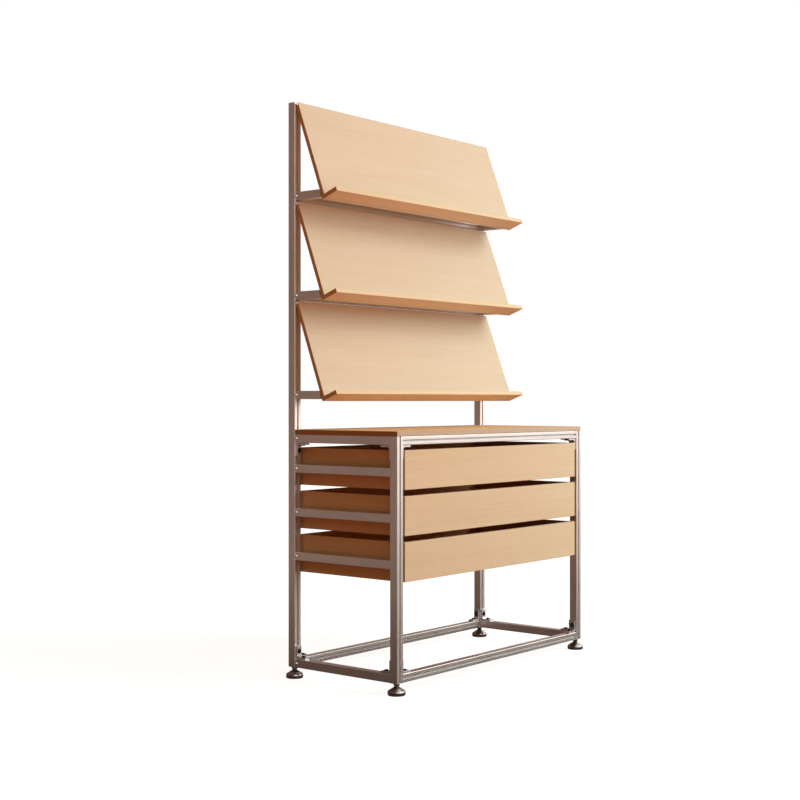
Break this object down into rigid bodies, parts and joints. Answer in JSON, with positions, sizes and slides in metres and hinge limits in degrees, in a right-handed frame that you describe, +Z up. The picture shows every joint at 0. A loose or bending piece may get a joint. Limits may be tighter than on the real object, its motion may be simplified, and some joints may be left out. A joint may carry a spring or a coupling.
{
  "type": "display shelf",
  "caption": "Free-standing shop display shelf: aluminium profile frame, sloped wooden shelves with lips above a wooden countertop, open wooden drawers below, levelling feet.",
  "frame": {"origin": "on the floor under the middle of the frame", "axes": "+Z up, +X to the right as seen from the front, the front faces -Y"},
  "size_m": [1.044, 0.468, 1.806],
  "materials": {
    "aluminium": "satin anodised",
    "bracket_metal": "die cast, satin",
    "shelf_wood": "pale, clear matt lacquer",
    "drawer_wood": "honey, clear matt lacquer",
    "counter_wood": "honey, clear satin lacquer",
    "foot_metal": "bright plated"
  },
  "bodies": {
    "frame": {"post_front_left": "aluminium", "post_front_right": "aluminium", "post_rear_left": "aluminium", "post_rear_right": "aluminium", "bottom_rail_front": "aluminium", "bottom_rail_rear": "aluminium", "bottom_rail_left": "aluminium", "bottom_rail_right": "aluminium", "top_rail_front": "aluminium", "top_rail_rear": "aluminium", "top_rail_left": "aluminium", "top_rail_right": "aluminium", "drawer_rail_left_1": "aluminium", "drawer_rail_right_1": "aluminium", "drawer_rail_left_2": "aluminium", "drawer_rail_right_2": "aluminium", "drawer_rail_left_3": "aluminium", "drawer_rail_right_3": "aluminium", "shelf_crossbar_1": "aluminium", "shelf_arm_left_1": "aluminium", "shelf_arm_right_1": "aluminium", "shelf_panel_1": "shelf_wood", "shelf_lip_1": "shelf_wood", "shelf_crossbar_2": "aluminium", "shelf_arm_left_2": "aluminium", "shelf_arm_right_2": "aluminium", "shelf_panel_2": "shelf_wood", "shelf_lip_2": "shelf_wood", "shelf_crossbar_3": "aluminium", "shelf_arm_left_3": "aluminium", "shelf_arm_right_3": "aluminium", "shelf_panel_3": "shelf_wood", "shelf_lip_3": "shelf_wood", "countertop": "counter_wood", "bracket_bottom_front_left_across": "bracket_metal", "bracket_bottom_front_left_along": "bracket_metal", "bracket_bottom_front_right_across": "bracket_metal", "bracket_bottom_front_right_along": "bracket_metal", "bracket_bottom_rear_left_across": "bracket_metal", "bracket_bottom_rear_left_along": "bracket_metal", "bracket_bottom_rear_right_across": "bracket_metal", "bracket_bottom_rear_right_along": "bracket_metal", "bracket_top_front_left_across": "bracket_metal", "bracket_top_front_left_along": "bracket_metal", "bracket_top_front_right_across": "bracket_metal", "bracket_top_front_right_along": "bracket_metal", "bracket_top_rear_left_across": "bracket_metal", "bracket_top_rear_left_along": "bracket_metal", "bracket_top_rear_right_across": "bracket_metal", "bracket_top_rear_right_along": "bracket_metal"},
    "drawer_1": {"drawer_front_1": "drawer_wood", "drawer_tray_1": "drawer_wood"},
    "drawer_2": {"drawer_front_2": "drawer_wood", "drawer_tray_2": "drawer_wood"},
    "drawer_3": {"drawer_front_3": "drawer_wood", "drawer_tray_3": "drawer_wood"},
    "levelling_foot_front_left": {"foot_front_left": "foot_metal"},
    "levelling_foot_front_right": {"foot_front_right": "foot_metal"},
    "levelling_foot_rear_left": {"foot_rear_left": "foot_metal"},
    "levelling_foot_rear_right": {"foot_rear_right": "foot_metal"}
  },
  "joints": [
    {"name": "drawer_slide_1", "type": "slide", "parent": "frame", "child": "drawer_1", "axis": [0, -1, 0], "range_m": [0, 0.28]},
    {"name": "drawer_slide_2", "type": "slide", "parent": "frame", "child": "drawer_2", "axis": [0, -1, 0], "range_m": [0, 0.28]},
    {"name": "drawer_slide_3", "type": "slide", "parent": "frame", "child": "drawer_3", "axis": [0, -1, 0], "range_m": [0, 0.28]},
    {"name": "foot_height_front_left", "type": "slide", "parent": "frame", "child": "levelling_foot_front_left", "axis": [0, 0, -1], "range_m": [0, 0.015]},
    {"name": "foot_height_front_right", "type": "slide", "parent": "frame", "child": "levelling_foot_front_right", "axis": [0, 0, -1], "range_m": [0, 0.015]},
    {"name": "foot_height_rear_left", "type": "slide", "parent": "frame", "child": "levelling_foot_rear_left", "axis": [0, 0, -1], "range_m": [0, 0.015]},
    {"name": "foot_height_rear_right", "type": "slide", "parent": "frame", "child": "levelling_foot_rear_right", "axis": [0, 0, -1], "range_m": [0, 0.015]}
  ]
}
